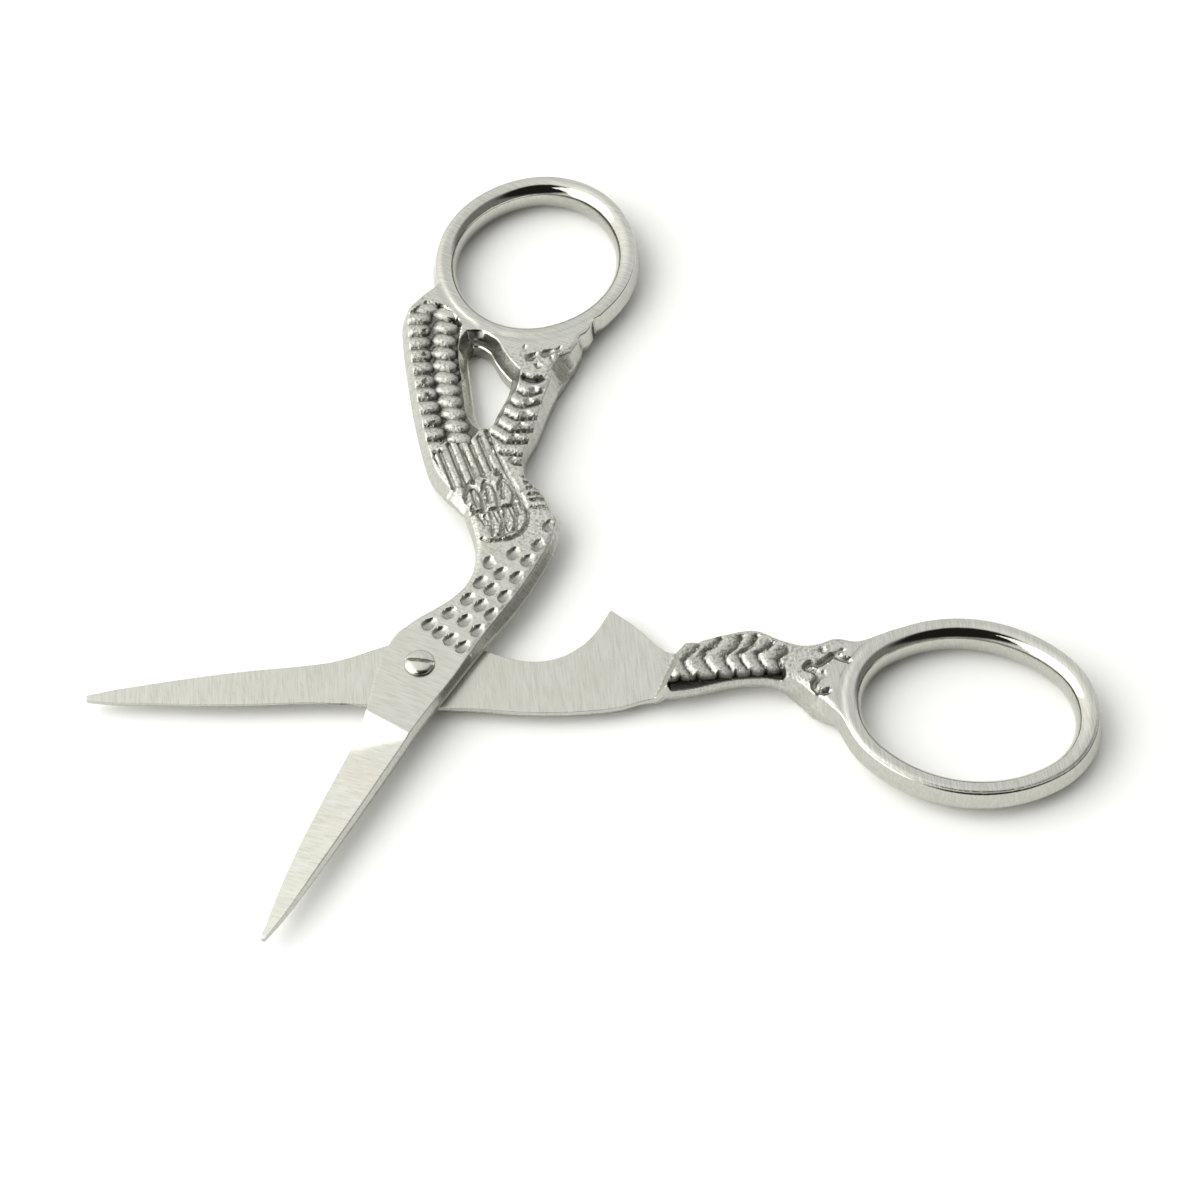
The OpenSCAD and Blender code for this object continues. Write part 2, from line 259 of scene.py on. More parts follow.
def band(v, low, high, soft):
    """1 between low and high, falling to 0 over a soft width outside."""
    return step(v, low - soft, low) * (1 - step(v, high, high + soft))


SQUARE = 2.8  # power of a lobe's outline: 2 is an ellipse, and more is squarer


def lobes(q, centres, half, lean, depth):
    """Depth between a row of raised lobes: each lobe is a pillow (1 - d^2.4)^0.6 high, where d is the
    superellipse distance over its half axes, and stands a little higher on its leading side."""
    rise = np.zeros(len(q))
    for x, y in centres:
        p = turned(q - (x, y), -lean) / half
        d = (np.abs(p) ** SQUARE).sum(1) ** (1 / SQUARE)
        pillow = np.clip(1 - d**2.4, 0, 1) ** 0.6 * (0.85 - 0.15 * np.clip(p[:, 0], -1, 1))
        rise = np.maximum(rise, pillow)
    return depth * (1 - rise)


def chevrons(q, lines, depth):
    """Depth of ribs between bent lines, each given as points with falling y: a groove on each line, and
    between two lines a crown sin(pi u^0.7)^0.65 high."""
    at = np.array([np.interp(q[:, 1], [y for _, y in line[::-1]], [x for x, _ in line[::-1]]) for line in lines])
    index = np.clip((at <= q[:, 0]).sum(0) - 1, 0, len(lines) - 2)
    each = np.arange(len(q))
    left, right = at[index, each], at[index + 1, each]
    u = (q[:, 0] - left) / np.maximum(right - left, 0.1)
    return depth * (1 - np.sin(np.pi * np.clip(u, 0, 1) ** 0.7) ** 0.65) * (1 - step(np.abs(u - 0.5), 0.6, 0.8))


def inside(q, outline, soft=0.2):
    """1 inside a closed outline, falling to 0 over a soft width at its edge."""
    return step(-polygon_distance(q, np.array(outline, float)), 0, soft)


# The relief, as depth below the flat faces. Its places are on each half lying closed, with the pivot at the
# origin and the bow towards x.

# Dimples down the neck: x, y and turn in degrees
DIMPLES = [(4.3, 1.15, -15), (6.2, 0.0, -15), (8.3, -0.85, -10), (10.5, -1.1, -5), (12.9, -0.85, 18),
           (3.9, -0.15, -15), (6.0, -1.65, -12), (8.15, -2.25, -10), (10.2, -2.35, -8), (12.2, -2.35, -5),
           (14.8, -2.45, 0), (3.6, -1.4, -15), (3.3, -2.75, -15), (5.5, -3.2, -12), (7.65, -3.6, -8),
           (10.0, -3.8, -5), (12.4, -3.9, -5), (14.6, -4.0, -2), (16.6, -4.15, 0), (19.1, -4.1, 5)]
# The wing's two rows of barbs, from the body to the tail
WING_OUTER = [(23.3, 10.0), (24.75, 11.05), (26.1, 12.05), (27.5, 12.95), (28.9, 13.9), (30.25, 14.85),
              (31.7, 15.75), (33.05, 16.6), (34.45, 17.4), (35.9, 18.15), (37.35, 18.75), (38.8, 18.55)]
WING_INNER = [(25.3, 8.35), (26.6, 9.3), (27.85, 10.25), (29.1, 11.2), (30.35, 12.05), (31.6, 12.85),
              (32.95, 13.65), (34.35, 14.45), (35.85, 15.1), (37.4, 15.75), (38.95, 16.4)]
# The grooves between a leg's ribs, each from its upper end to its lower
LEG_LINES = [[(23.3, 6), (24.1, 2.9), (24.9, 1.0)], [(25.6, 5.6), (25.2, 4.0), (25.9, 1.6)],
             [(27.0, 5.6), (26.6, 4.1), (27.6, 1.9)], [(28.4, 5.9), (28.0, 4.2), (29.0, 2.2)],
             [(29.9, 5.9), (29.6, 4.3), (30.5, 2.7)], [(31.4, 5.9), (31.1, 5.0), (31.3, 4.3), (32.4, 3.2)],
             [(33.0, 5.9), (32.7, 4.9), (33.0, 4.2), (33.9, 3.4)],
             [(34.6, 5.9), (34.5, 5.0), (35.0, 4.3), (35.6, 3.9)]]
BREAST_LEG_LINES = [[(23.6, 0.2), (22.9, -0.9), (22.2, -1.9), (22.4, -2.8), (22.9, -4.0)],
                    [(25.6, -0.2), (25.2, -0.9), (23.9, -1.9), (24.2, -2.8), (24.7, -3.9)],
                    [(27.6, 0.2), (26.9, -0.7), (26.0, -1.1), (25.8, -1.8), (26.2, -2.8), (26.7, -3.7)],
                    [(29.6, 0.2), (28.8, -1.1), (27.8, -1.8), (27.7, -2.2), (28.3, -3.6)],
                    [(31.0, 0.2), (30.2, -1.0), (29.1, -1.7), (29.2, -2.4), (29.8, -3.6)],
                    [(32.6, -0.6), (31.5, -1.5), (30.7, -1.8), (30.8, -2.3), (31.3, -3.6)],
                    [(33.6, -1.4), (33.2, -1.9), (32.4, -2.6), (32.6, -3.6), (32.9, -5.2)]]

# What each part of the pattern covers
LEG_AREA = [(24.2, 3.4), (24.3, 1.1), (25, 1.1), (28, 1.9), (31, 2.6), (35.6, 3.7), (35.3, 6.1), (27.2, 6.1)]
BREAST_LEG_AREA = [(22.0, -4.0), (22.8, 0.3), (26, 0.4), (31.2, 0.3), (33.6, -1.4), (33.3, -4.2), (31.5, -3.9),
                   (25.0, -3.9)]
WING_AREA = [(22.1, 9.4), (24.1, 9.3), (24.4, 8.0), (25.0, 7.1), (27.2, 6.9), (29.7, 9.6), (32.5, 11.7),
             (35.4, 13.4), (38.1, 14.3), (39.5, 16.0), (39.7, 17.4), (39.4, 18.9), (37.0, 19.9),
             (30.5, 16.2), (24, 12)]
FLANK_AREA = [(19.2, 6.2), (20.7, 4.9), (22.1, 4.3), (23.1, 3.1), (27.4, 6.3), (25.1, 7.1), (24.2, 9.0),
              (22.0, 9.7)]
# Grooves on the flank by their distance from the pivot across them, and the drawn lines of the breast
FLANK_LINES = np.array([-14.1, -13.15, -12.15, -11.2, -10.15, -9.1, -8.3])
LEAVES = [((17.3, 3.4), (18.9, 4.6), (20.4, 5.0), (20.3, 4.2), (19.9, 3.5), (18.2, 2.2)),
          ((18.3, 2.2), (20.1, 3.4), (21.3, 3.7), (21.3, 2.9), (20.7, 2.2), (19.2, 1.2)),
          ((19.2, 1.2), (20.9, 2.2), (22.3, 2.4), (22.1, 1.5), (21.3, 0.6), (20.0, 0.1)),
          ((18.4, 3.1), (19.8, 4.3)), ((19.3, 2.3), (20.7, 3.2)), ((20.3, 1.3), (21.6, 2.0)),
          ((17.5, 2.5), (16.8, 1.4), (17.2, 0.9), (18.4, 1.7)), ((17.6, 1.9), (17.3, 1.3)),
          ((18.5, 1.4), (17.7, 0.4), (18.1, 0.0), (19.4, 0.7)), ((18.7, 0.9), (18.2, 0.4)),
          ((19.6, 0.3), (18.8, -0.6), (19.3, -0.9), (20.4, 0.0)), ((19.8, -0.1), (19.4, -0.5)),
          ((17.2, 3.4), (18.6, 1.6), (20.0, 0.0)), ((16.9, 0.8), (15.9, 0.2), (16.2, -0.5), (17.6, 0.0)),
          ((17.9, -0.2), (16.9, -0.9), (17.4, -1.4), (18.8, -0.8))]
BREAST_ROUNDS = [
    smooth_line([(27.4, 6.3), (23.7, 2.9), (22.9, 2.0), (22.1, 1.0), (20.9, -0.4), (19.6, -1.6), (18.2, -2.1),
                 (17.0, -1.9), (16.1, -1.2), (15.5, -0.3), (15.1, 0.6), (15.2, 1.1)], 4),
    smooth_line([(22.7, 2.5), (22.2, 1.3), (21.3, 0.2), (20.5, -0.5), (19.6, -1.0)], 3),
    smooth_line([(20.2, -1.2), (20.7, -2.4), (21.2, -3.7)], 2)]
NOTCH_BARS = [[(21.2 + 2.2 * t, -1.3 + 1.9 * t), (21.9 + 2.2 * t, -2.5 + 1.9 * t)] for t in (0, 0.25, 0.5, 0.75, 1)]
# Small pits at the ribs' feet, on the wing, and on the flank
RIB_FEET = [(24.9, 2.5), (25.1, 1.4), (27.5, 3.5), (29.0, 3.55), (30.5, 3.65), (32.0, 4.1), (33.5, 4.2)]
WING_NICKS = [(25.8, 11.4), (28.8, 13.4), (30.2, 14.4), (33.3, 16.0), (36.0, 17.3)]
FLANK_NICKS = [(20.9, 4.8), (22.1, 4.3), (22.8, 3.1), (19.4, 6.1), (20.2, 5.4), (18.0, 3.4), (16.7, -0.6)]
# Where the ribs on the breast half's leg meet at the edge of the recess
RECESS_GAPS = np.array([21.9, 23.4, 25.0, 26.95, 28.5, 29.95, 31.35, 33.0])

# Depths; a lobe's half axes; pits as half length, half width, turn and depth; grooves as half width and depth
RIB_DEPTH, BREAST_RIB_DEPTH, LOBE_DEPTH, FLANK_DEPTH, RECESS_DEPTH = 0.56, 0.46, 0.62, 0.36, 1.0
OUTER_LOBE, INNER_LOBE = (0.9, 1.36), (0.85, 1.3)
RIB_FOOT, WING_NICK, FLANK_NICK = (0.5, 0.42, -60, 0.3), (0.5, 0.26, -12, 0.4), (0.5, 0.3, 20, 0.4)
DIMPLE_LONG, DIMPLE_WIDE, DIMPLE_DEPTH = 0.8, 0.56, 0.3
LEAF_LINE, ROUND_LINE, NOTCH_LINE, SCROLL_LINE = (0.26, 0.32), (0.24, 0.3), (0.24, 0.28), (0.36, 0.42)


def leg_ribs(q):
    """Chevron ribs on the stork half's leg, with a hollow at the foot of each."""
    cut = np.maximum(chevrons(q, LEG_LINES, RIB_DEPTH), pits(q, RIB_FEET, RIB_FOOT))
    return cut * inside(q, LEG_AREA)


def breast_ribs(q):
    """Chevron ribs on the breast half's leg."""
    return chevrons(q, BREAST_LEG_LINES, BREAST_RIB_DEPTH) * inside(q, BREAST_LEG_AREA, 0.15)


def wing_and_body(q):
    """Two rows of barbs on the wing, bars on the flank, which are grooves at set distances across them,
    leaves on the breast with the lines round them, and small bars at the notch."""
    wing = inside(q, WING_AREA, 0.12) * np.minimum(lobes(q, WING_OUTER, OUTER_LOBE, 24, LOBE_DEPTH),
                                                   lobes(q, WING_INNER, INNER_LOBE, 8, LOBE_DEPTH))
    across = -0.69 * q[:, 0] + 0.72 * q[:, 1]
    off = np.abs(across[:, None] - FLANK_LINES).min(1)
    flank = inside(q, FLANK_AREA, 0.15) * FLANK_DEPTH * (1 - step(off, 0.06, 0.34))
    return np.maximum.reduce([wing, pits(q, WING_NICKS, WING_NICK), flank, pits(q, FLANK_NICKS, FLANK_NICK),
                              grooves(q, LEAVES, *LEAF_LINE), grooves(q, BREAST_ROUNDS, *ROUND_LINE),
                              grooves(q, NOTCH_BARS, *NOTCH_LINE)])


def claw_scroll(q, marks, line=None):
    """The small scroll where a leg meets its bow: pits and humps, and a groove where it has one."""
    depth = np.zeros(len(q))
    if line is not None:
        depth = groove(q, smooth_line(line, 4), *SCROLL_LINE)
    for mark in marks:
        depth = np.maximum(depth, pit(q, *mark))
    return depth


def neck_dimples(q):
    """Rows of dimples down the neck, each steep on the side of the back."""
    return np.maximum.reduce([pit(q, x, y, DIMPLE_LONG, DIMPLE_WIDE, turn, DIMPLE_DEPTH, 0.4, 0.2, 0.55)
                              for x, y, turn in DIMPLES])


def stork_relief(q):
    """The stork half's upper face."""
    scroll = claw_scroll(q, [(37.2, 6.2, 0.8, 0.45, -30, 0.36), (38.3, 5.0, 0.85, 0.45, -35, 0.36),
                             (36.4, 5.2, 0.5, 0.32, 60, 0.3), (39.1, 4.2, 0.6, 0.3, -10, 0.24),
                             (37.8, 4.3, 0.5, 0.25, 40, 0.22), (37.9, 7.3, 0.5, 0.25, 20, 0.2)])
    return np.maximum.reduce([neck_dimples(q), wing_and_body(q), leg_ribs(q), scroll])


def breast_relief(q):
    """The breast half's upper face, which is carved on its leg only: ribs, the recess below them, whose
    upper edge is a half circle round each rib's end, and the scroll."""
    scroll = claw_scroll(q, [(36.7, -2.1, 0.5, 0.35, -50, 0.3), (38.4, -2.3, 0.45, 0.25, 20, 0.2),
                             (36.4, -4.6, 0.5, 0.3, 70, 0.2)],
                         [(38.9, -3.4), (38.2, -3.1), (37.6, -2.7), (36.8, -3.2), (36.0, -3.6), (35.3, -3.4),
                          (34.9, -3.8), (35.7, -4.4), (35.9, -4.9), (35.4, -5.6), (35.4, -6.2), (36.0, -6.6),
                          (36.8, -6.5)])
    x, y = q.T
    gap = np.clip(np.searchsorted(RECESS_GAPS, x) - 1, 0, len(RECESS_GAPS) - 2)
    u = np.clip(2 * (x - RECESS_GAPS[gap]) / (RECESS_GAPS[gap + 1] - RECESS_GAPS[gap]) - 1, -1, 1)
    ends = -3.25 - 0.35 * np.sqrt(1 - u * u)
    recess = RECESS_DEPTH * step(ends - y, -0.05, 0.2) * band(x, 22.5, 32.7, 0.4)
    return np.maximum.reduce([breast_ribs(q), scroll, recess])


# The halves

# Where each grinding starts on the mating side's middle line, and how its straight front line leans
STORK_GRIND, BREAST_GRIND, FRONT_LEAN = -6.8, -3.0, 0.13
BACK_TURN = 0.62  # how far the back falls from root to tip, as a share of the blade's width


def ground_height(q, mirror, start):
    """Height of a blade's ground face above the mating plane: a plane that follows the back from tip to
    root and falls across the blade. From the straight line where the wheel came off, the run-out sinks to
    it as D (1 - (1 - t)^2), over a width that grows with its depth D."""
    rise = (MID - 0.15 - TIP_T) / (BLADE_LEN - ROOT_LEN)
    turn, fall = math.atan(BACK_TURN * BLADE_W / (BLADE_LEN - ROOT_LEN)), math.atan(EDGE_FALL / BLADE_W)
    x, y = q[:, 0] + BLADE_LEN, q[:, 1] * mirror
    a, b = x * math.cos(turn) - y * math.sin(turn), x * math.sin(turn) + y * math.cos(turn)
    plane = np.minimum((TIP_T + rise * a - b * math.sin(fall)) / math.cos(fall), MID)
    deep = MID - plane
    t = np.clip((start + FRONT_LEAN * y - q[:, 0]) / (0.3 + 3.0 * deep), 0, 1)
    return np.where(t > 0, MID - deep * (1 - (1 - t) ** 2), THICK)


FILLET = 0.7  # round between an outline and its bow

# The metal between the window and the bow, where the stork half's outline runs out: middle and radius
BOW_ROOT, BOW_ROOT_R = (38.8, 11.8), 1.6

# Bites beside the claw in the outer edge of each leg
BITE_R = 0.62
CLAW_BITES = {"stork": [(35.7, 2.0), (41.5, 2.0)], "breast": [(35.7, -8.7)]}

# The line between the upper and the lower edge of each plan, and how far the upper face stops short of
# both: in the draft of the forging and its worn edge
MIDDLE_LINE = {"stork": [(-31, 0), (10, -1), (15, -0.5), (20, 3), (25, 7), (37, 12)],
               "breast": [(-31, 0.4), (0, -0.5), (5, -1.5), (33, -1.5), (38, -4)]}
UPPER_INSET = {"stork": [(-30, 0.05), (-8, 0.1), (5, 0.15), (13, 0.2), (16, 0.45), (20, 0.75), (37, 0.75),
                         (40, 0.5)],
               "breast": [(-30, 0.05), (-8, 0.08), (5, 0.1), (20, 0.1), (22, 0.2), (25, 0.3), (40, 0.3)]}
LOWER_INSET = {"stork": [(-30, 0.1), (-22, 0.3), (-8, 0.3), (0, 0.3), (1, 0.35), (8, 0.8), (15, 0.77), (20, 0.6),
                         (23, 0.25), (28, 0.4), (31, 0.7), (35, 0.95), (35.8, 0.95), (36.6, 1.5), (38.4, 1.5),
                         (39.3, 0.7), (40.3, 0.65)],
               "breast": [(-30, 0.05), (-8, 0.08), (5, 0.1), (19, 0.1), (20.8, 0.15), (22, 0.3), (24, 0.3),
                          (32, 0.3), (34, 0.6), (35.4, 0.6), (36.2, 1.2), (37.2, 0.7), (40, 0.5)]}
BOW_INSET, HOLE_INSET, BORE_INSET = 0.55, 0.4, 0.05
WINDOW_INSET, WINDOW_LEDGE = 0.2, 0.75  # face and ledge outside and inside the window's outline

UNDERSIDE_X = NECK_LEN + 2.6  # from here the underside is carved like the face above
RAMP = 5.0  # length of the slope from the stork half's flat to its underside
# The shoulder's line along the breast half, how far it leans, and where it is out of reach
SHOULDER_FOOT = np.array([0.895 * NECK_LEN, -0.87 * THROAT_H])
SHOULDER_HEAD = np.array([NECK_LEN + 0.2, 0.04 * THROAT_H])
SHOULDER_LEAN, SHOULDER_END = 25, NECK_LEN + 8
# Slopes under the breast half's lower edge: depth, width, from x, to x, and how softly they end
UNDER_SLOPES = [(1.2, 0.78, -5.5, 20.5, 2.0), (1.6, 1.5, 22.5, 32.0, 3.0)]

# The stork half's flat on the mating plane, whose edge clears the back of the breast by its play
FLAT_STORK = np.vstack([[(-BLADE_LEN - 5, -THROAT_H - 5), (NECK_LEN + 2, -THROAT_H - 5), (NECK_LEN + 2, 0.35)],
                        BREAST_REAR + 0.25, [BREAST_REAR[-1] + (-0.25, 4.25)],
                        [(-BLADE_LEN - 5, BREAST_REAR[-1][1] + 4.25)]])


class Half:
    """One forged half, closed: its plan as fields that are negative inside, and its heights over the plan."""

    def __init__(self, name, outline, bow, window, bore):
        self.name, self.outline, self.bow, self.window, self.bore = name, outline, bow, window, bore

    def plan(self, q):
        """Fields of the outside, the finger hole, the window and the bore, each a signed distance."""
        ring = self.bow.distance(q)
        outside = soft_min(polygon_distance(q, self.outline), ring - BOW_WALL, FILLET)
        if self.window is not None:
            outside = soft_min(outside, np.linalg.norm(q - BOW_ROOT, axis=1) - BOW_ROOT_R, FILLET)
        for bite in CLAW_BITES[self.name]:
            outside = np.maximum(outside, BITE_R - np.linalg.norm(q - bite, axis=1))
        hole = -(ring + BOW_SWELL)
        window = np.full(len(q), -99.0)
        if self.window is not None:
            window = -WINDOW_LEDGE - polygon_distance(q, self.window)
        bore = self.bore / 2 - np.linalg.norm(q, axis=1)
        return np.stack([outside, hole, window, bore])

    def above(self, q):
        """Whether a point belongs to the upper edge of the plan, and not to the lower one."""
        return q[:, 1] > table(q[:, 0], MIDDLE_LINE[self.name])

    def inset(self, q):
        """How far the upper face stops short of the outside."""
        x = q[:, 0]
        side = np.where(self.above(q), table(x, UPPER_INSET[self.name]), table(x, LOWER_INSET[self.name]))
        far = step(self.bow.distance(q), 1.6, 3.4)
        return side * far + BOW_INSET * (1 - far)

    def face_sides(self, q):
        """The upper face's fields: each edge of the plan drawn in by its own width."""
        outside, hole, window, bore = self.plan(q)
        return np.stack([outside + self.inset(q), hole + BOW_SWELL + HOLE_INSET,
                         window + WINDOW_LEDGE + WINDOW_INSET, bore + BORE_INSET])

    def face(self, q):
        """The upper face's field."""
        return self.face_sides(q).max(0)

    def heights(self, q):
        """Upper and lower surface over the plan, and how far the relief lies below the face. Edges are worn
        off by (1 - s)^2, with s the smooth step from the edge inwards, and more on the bow's wire."""
        within = -self.plan(q)[0]
        edge = within - self.inset(q)
        wire = 1 - step(self.bow.distance(q), 0.5, 4.0)
        worn = 0.12 * (1 - step(edge, 0, 0.4)) ** 2
        under = (0.12 + 0.4 * wire) * (1 - step(edge, 0, 0.35 + 0.3 * wire)) ** 2 + 0.05 * wire
        surfaces = self.stork_surfaces if self.name == "stork" else self.breast_surfaces
        top, low, cut = surfaces(q, within, worn, under)
        return top - 0.05 * wire, low, cut

    def stork_surfaces(self, q, within, worn, under):
        """The stork half: the ground blade and the carved body above, and below the flat on the mating plane,
        which runs down to the carved underside beside the back."""
        x, y = q.T
        cut = stork_relief(q)
        top = np.minimum(THICK, MID + ground_height(q, 1, STORK_GRIND)) - np.maximum(cut, worn * (x > 3))
        carved = np.where(x > UNDERSIDE_X, np.maximum(leg_ribs(q), wing_and_body(q)), 0)
        past = polygon_distance(q, FLAT_STORK)
        flat = MID + HALF_GAP
        ramp = flat * np.clip(1 - past / RAMP, 0, 1) * (y > 0.5) * (1 - step(within, 0.8, 2.0))
        return top, np.where(past < 0, flat, np.maximum.reduce([under, carved, ramp])), cut

    def breast_surfaces(self, q, within, worn, under):
        """The breast half: flat on the mating plane as far as the shoulder, which leans up to the leg's full
        height, and below the ground blade, the dimpled neck, the ribs and the slopes of the lower edge."""
        x = q[:, 0]
        way = (SHOULDER_HEAD - SHOULDER_FOOT) / np.linalg.norm(SHOULDER_HEAD - SHOULDER_FOOT)
        past = (q - SHOULDER_FOOT) @ (way[1], -way[0])
        flat = MID - HALF_GAP
        rise = np.clip(flat + past / math.tan(math.radians(SHOULDER_LEAN)), flat, THICK)
        shoulder = np.where(x < SHOULDER_END, rise, THICK)
        cut = np.maximum(breast_relief(q), worn) * step(shoulder, THICK - 0.2, THICK)
        slopes = [deep * np.clip(1 - within / wide, 0, 1) * band(x, start, stop, soft)
                  for deep, wide, start, stop, soft in UNDER_SLOPES]
        low = np.where(x < 0, MID - np.minimum(ground_height(q, -1, BREAST_GRIND), MID),
                       np.maximum(under, neck_dimples(q)))
        low = np.where(x > UNDERSIDE_X, np.maximum(under, breast_ribs(q)), low)
        return shoulder - cut, np.maximum(low, np.maximum.reduce(slopes) * ~self.above(q)), cut


def cells_inside(field, shape):
    """Faces of a grid whose corners are kept, where the field is 0 or less: squares with four corners kept, as
    two triangles each, and triangles where one is off."""
    nx, ny = shape
    kept = field <= 0
    i, j = np.meshgrid(np.arange(nx - 1), np.arange(ny - 1), indexing="ij")
    a = (i * ny + j).ravel()
    corners = np.stack([a, a + ny, a + ny + 1, a + 1], 1)
    inside = kept[corners]
    count = inside.sum(1)
    full = corners[count == 4]
    diagonal = (full[:, 0] // ny + full[:, 0] % ny) % 2 == 0
    tris = [full[diagonal][:, [0, 1, 2]], full[diagonal][:, [0, 2, 3]],
            full[~diagonal][:, [0, 1, 3]], full[~diagonal][:, [1, 2, 3]]]
    for off in range(4):
        three = (count == 3) & ~inside[:, off]
        tris.append(corners[three][:, [(off + 1) % 4, (off + 2) % 4, (off + 3) % 4]])
    return np.vstack(tris)


def open_edges(tris):
    """The edges of a sheet of triangles that only one triangle has, in that triangle's direction."""
    edges = np.vstack([tris[:, [0, 1]], tris[:, [1, 2]], tris[:, [2, 0]]])
    key = np.sort(edges, 1)
    _, first, count = np.unique(key, axis=0, return_index=True, return_counts=True)
    return edges[first[count == 1]]


def slope_of(fields, q, reach=0.02):
    """Slope of fields on the plane, from differences over a small reach on both sides."""
    along = [fields(q + d) - fields(q - d) for d in ((reach, 0), (0, reach))]
    return np.stack(along, -1) / (2 * reach)


OUTSIDE, HOLE, WINDOW = 0, 1, 2  # the order of the plan's fields
BOW_REACH, MARGIN = 12.8, 0.4  # the grid's room round a bow's centre, and round everything
EVENED_OUT = (True, True, True, False, False)  # each Newton step, and whether the rim is evened out after it


def sheet(half):
    """A square grid over the plan, cut to the upper face's field F. The points of its open edge, the rim,
    move onto F = 0 by Newton steps q - F grad F / |grad F|^2, and each is drawn halfway to its neighbours'
    middle after the first steps. Gives points, triangles, open edges, the rim, and each rim point's
    neighbours along it."""
    low, high = half.outline.min(0), half.outline.max(0)
    low = np.minimum(low, half.bow.centre - BOW_REACH) - MARGIN
    high = np.maximum(high, half.bow.centre + BOW_REACH) + MARGIN
    xs, ys = np.arange(low[0], high[0], CELL), np.arange(low[1], high[1], CELL)
    q = np.stack(np.meshgrid(xs, ys, indexing="ij"), -1).reshape(-1, 2)
    tris = cells_inside(half.face(q) - 0.45 * CELL, (len(xs), len(ys)))
    used, tris = np.unique(tris, return_inverse=True)
    tris, q = tris.reshape(-1, 3), q[used]
    edges = open_edges(tris)
    rim = np.unique(edges)
    first, second = np.searchsorted(rim, edges).T
    after, before = np.arange(len(rim)), np.arange(len(rim))
    after[first], before[second] = second, first
    for even in EVENED_OUT:
        slope = slope_of(half.face, q[rim])
        q[rim] -= slope / (slope * slope).sum(1)[:, None] * half.face(q[rim])[:, None]
        if even:
            q[rim] = 0.5 * q[rim] + 0.25 * (q[rim[after]] + q[rim[before]])
    return q, tris, edges, rim, after, before


def way_out(half, q, after, before):
    """Which edge of the plan each rim point stands at, the way out to it and the distance. Way and distance
    are averaged along the rim ten times, so that the wall doesn't fold in the plan's corners."""
    kind = half.face_sides(q).argmax(0)
    each = np.arange(len(q))
    out = slope_of(half.plan, q)[kind, each]
    out /= np.maximum(np.linalg.norm(out, axis=1), 1e-9)[:, None]
    total = -half.plan(q)[kind, each]
    same = (kind[after] == kind) & (kind[before] == kind)
    for _ in range(10):
        out[same] = (0.5 * out + 0.25 * (out[after] + out[before]))[same]
        total[same] = (0.5 * total + 0.25 * (total[after] + total[before]))[same]
    return kind, out, total


def wall_levels(half, q, kind, total, top, bottom):
    """The wall from the upper rim down, as rows of (distance out, height): a quarter round, a lean out to the
    plan's edge at the parting line, and a draft back below it, out at the share s^1.5. Round a finger
    hole it is half an ellipse, (total sin(pi s)^0.94, cos(pi s)), and round the window it ends in a ledge."""
    height = top - bottom
    outside, window = kind == OUTSIDE, kind == WINDOW
    full = height > 2  # a whole forging's wall, and not one half's beside the other
    worn_r = np.minimum(np.where(outside, np.clip(0.3 * total, 0.02, 0.16), 0.06), 0.3 * height)
    parting = np.clip(np.where(full, MID, bottom + 0.5 * height), bottom + 0.2 * height, top - 0.3 * height)
    wire = 1 - step(half.bow.distance(q), BOW_WALL - 0.2, BOW_WALL + 1.2)
    draft = np.where(outside, np.minimum(np.where(full, 0.2 + 0.35 * wire, 0.1), total), 0.2 * window)
    levels = [(worn_r * math.sin(a), top - worn_r * (1 - math.cos(a))) for a in (math.pi / 6, math.pi / 3)]
    for s in (0.12, 0.4, 0.75, 0.93, 1.0):
        lean = np.where(window, 0.84 * min(s / 0.8, 1) + 0.16 * (s > 0.95), s + 0.08 * s * (1 - s))
        levels.append((worn_r + (total - worn_r) * lean, top - worn_r + (parting - top + worn_r) * s))
    for s in (0.08, 0.35, 0.65, 0.9, 1.0):
        levels.append((total - draft * s**1.5, parting + (bottom - parting) * s))
    rows = []
    for k, (out, z) in enumerate(levels):
        turn = math.pi * (k + 1) / (len(levels) + 1)
        rows.append((np.where(kind == HOLE, total * math.sin(turn) ** 0.94, out),
                     np.where(kind == HOLE, bottom + height * (0.5 + 0.5 * math.cos(turn)), z)))
    return rows


def finish_values(half, q, rim, hole, rows):
    """Polish, 1 in the finger hole and satin on the bow's wire, and the grain of the die, which starts where
    the belt grinding ends. Both are given for the upper face, the lower face and the rows of the wall."""
    ring = half.bow.distance(q)
    satin = 0.7 * (1 - step(ring, 1.2, 2.6))
    polish = np.concatenate([satin, satin, np.tile(np.maximum(hole, satin[rim]), rows)])
    polish[rim] = polish[rim + len(q)] = np.maximum(hole, satin[rim])
    x = q[:, 0]
    cast = 0.5 * step(x, 3.5, 8) + 0.5 * step(x, 14.5, 17) if half.name == "stork" else step(x, 21.5, 24)
    cast = cast * step(ring, BOW_WALL + 0.3, BOW_WALL + 2)
    return polish, np.concatenate([cast, cast, np.tile(0.35 * cast[rim], rows)])


